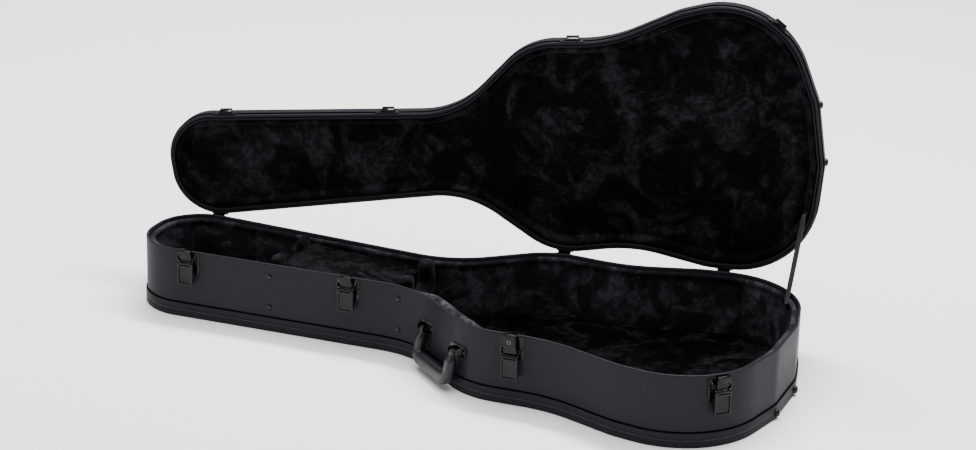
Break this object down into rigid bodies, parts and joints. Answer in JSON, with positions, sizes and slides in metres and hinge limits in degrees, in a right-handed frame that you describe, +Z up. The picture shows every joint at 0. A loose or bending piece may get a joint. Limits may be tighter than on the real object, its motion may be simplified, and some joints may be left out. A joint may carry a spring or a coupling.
{
  "type": "guitar case",
  "caption": "Hard-shell acoustic guitar case with hinged lid, draw latches, carrying handle, plush lining and neck compartment.",
  "frame": {"origin": "on the underside of the base, half-way along the case and on its centre line", "axes": "+X along the case from the head end to the tail, -Y towards the latches and the handle, +Z up; the lid stands open"},
  "size_m": [1.1332, 0.4988, 0.561],
  "materials": {
    "shell_vinyl": "textured vinyl over plywood",
    "band_vinyl": "stitched textured vinyl",
    "plush": "short-pile plush over padding",
    "compartment_plush": "short-pile plush over padding",
    "tab_leather": "smooth",
    "strap_webbing": "woven webbing",
    "handle_moulding": "moulded, satin",
    "stud_metal": "dark plated, polished",
    "pin_steel": "dark steel",
    "lock_metal": "polished",
    "hardware_metal": "dark plated, polished"
  },
  "bodies": {
    "base": {"base_bottom": "shell_vinyl", "base_wall": "shell_vinyl", "base_band": "band_vinyl", "base_floor_lining": "plush", "base_side_lining": "plush", "head_partition": "plush", "neck_partition": "plush", "partition_rivets": "stud_metal", "base_tail_feet": "stud_metal", "hinge_1_base_leaf": "hardware_metal", "hinge_2_base_leaf": "hardware_metal", "hinge_3_base_leaf": "hardware_metal", "hinge_pins": "pin_steel", "base_hinge_rivets": "stud_metal", "latch_1_plate": "hardware_metal", "latch_2_plate": "hardware_metal", "latch_3_plate": "hardware_metal", "latch_4_plate": "hardware_metal", "latch_lever_pins": "pin_steel", "latch_rivets": "stud_metal", "handle_bracket_1": "hardware_metal", "handle_bracket_2": "hardware_metal", "handle_pins": "pin_steel", "handle_rivets": "stud_metal", "stay_strap": "strap_webbing", "stay_base_stud": "stud_metal"},
    "lid": {"lid_wall": "shell_vinyl", "lid_board": "shell_vinyl", "lid_band": "band_vinyl", "lid_tongue": "shell_vinyl", "lid_lining": "plush", "lid_tail_feet": "stud_metal", "hinge_1_lid_leaf": "hardware_metal", "hinge_2_lid_leaf": "hardware_metal", "hinge_3_lid_leaf": "hardware_metal", "lid_hinge_rivets": "stud_metal", "keeper_1": "hardware_metal", "keeper_2": "hardware_metal", "keeper_3": "hardware_metal", "keeper_4": "hardware_metal", "keeper_rivets": "stud_metal", "stay_lid_stud": "stud_metal"},
    "latch_1_lever": {"latch_1_lever": "hardware_metal", "latch_1_claw_pin": "pin_steel"},
    "latch_1_claw": {"latch_1_claw": "hardware_metal"},
    "latch_2_lever": {"latch_2_lever": "hardware_metal", "latch_2_claw_pin": "pin_steel"},
    "latch_2_claw": {"latch_2_claw": "hardware_metal"},
    "latch_3_lever": {"latch_3_lever": "hardware_metal", "latch_3_claw_pin": "pin_steel"},
    "latch_3_claw": {"latch_3_claw": "hardware_metal"},
    "latch_4_lever": {"latch_4_lever": "hardware_metal", "latch_4_claw_pin": "pin_steel"},
    "latch_4_claw": {"latch_4_claw": "hardware_metal"},
    "lock": {"lock_cylinder": "lock_metal"},
    "handle": {"handle_grip": "handle_moulding"},
    "compartment_lid": {"compartment_lid": "compartment_plush", "compartment_pull_tab": "tab_leather"}
  },
  "joints": [
    {"name": "lid_hinge", "type": "hinge", "parent": "base", "child": "lid", "pos_m": [-0.5525, 0.0795, 0.1115], "axis": [0.9881, 0.1536, 0], "range_deg": [0, 89.1], "deforming": ["stay_strap"]},
    {"name": "latch_1_lever_turn", "type": "hinge", "parent": "base", "child": "latch_1_lever", "pos_m": [-0.44228, -0.09221, 0.106], "axis": [-0.9991, -0.0415, 0], "range_deg": [0, 100]},
    {"name": "latch_1_claw_turn", "type": "hinge", "parent": "latch_1_lever", "child": "latch_1_claw", "pos_m": [-0.44205, -0.0977, 0.099], "axis": [-0.9991, -0.0415, 0], "range_deg": [-100, 0]},
    {"name": "latch_2_lever_turn", "type": "hinge", "parent": "base", "child": "latch_2_lever", "pos_m": [-0.15828, -0.0804, 0.106], "axis": [-0.9991, -0.0415, 0], "range_deg": [0, 100]},
    {"name": "latch_2_claw_turn", "type": "hinge", "parent": "latch_2_lever", "child": "latch_2_claw", "pos_m": [-0.15805, -0.0859, 0.099], "axis": [-0.9991, -0.0415, 0], "range_deg": [-100, 0]},
    {"name": "latch_3_lever_turn", "type": "hinge", "parent": "base", "child": "latch_3_lever", "pos_m": [0.16779, -0.1836, 0.091], "axis": [-0.9987, -0.0518, 0], "range_deg": [0, 100]},
    {"name": "latch_3_claw_turn", "type": "hinge", "parent": "latch_3_lever", "child": "latch_3_claw", "pos_m": [0.16808, -0.1891, 0.084], "axis": [-0.9987, -0.0518, 0], "range_deg": [-100, 0]},
    {"name": "latch_4_lever_turn", "type": "hinge", "parent": "base", "child": "latch_4_lever", "pos_m": [0.50548, -0.18595, 0.1], "axis": [-0.7039, -0.7103, 0], "range_deg": [0, 70]},
    {"name": "latch_4_claw_turn", "type": "hinge", "parent": "latch_4_lever", "child": "latch_4_claw", "pos_m": [0.50939, -0.18982, 0.093], "axis": [-0.7039, -0.7103, 0], "range_deg": [-70, 0]},
    {"name": "lock_turn", "type": "hinge", "parent": "latch_3_claw", "child": "lock", "pos_m": [0.16813, -0.19009, 0.1098], "axis": [0.0518, -0.9987, 0], "range_deg": [0, 90]},
    {"name": "handle_swing", "type": "hinge", "parent": "base", "child": "handle", "pos_m": [0.02569, -0.1375, 0.067], "axis": [-0.7649, 0.6441, 0], "range_deg": [0, 110]},
    {"name": "compartment_lid_hinge", "type": "hinge", "parent": "base", "child": "compartment_lid", "pos_m": [-0.2885, -0.06601, 0.109], "axis": [-0.9959, -0.0414, 0.0801], "range_deg": [-88, 0]}
  ],
  "couplings": [
    {"joint": "latch_1_claw_turn", "follows": "latch_1_lever_turn", "ratio": -1},
    {"joint": "latch_2_claw_turn", "follows": "latch_2_lever_turn", "ratio": -1},
    {"joint": "latch_3_claw_turn", "follows": "latch_3_lever_turn", "ratio": -1},
    {"joint": "latch_4_claw_turn", "follows": "latch_4_lever_turn", "ratio": -1}
  ]
}
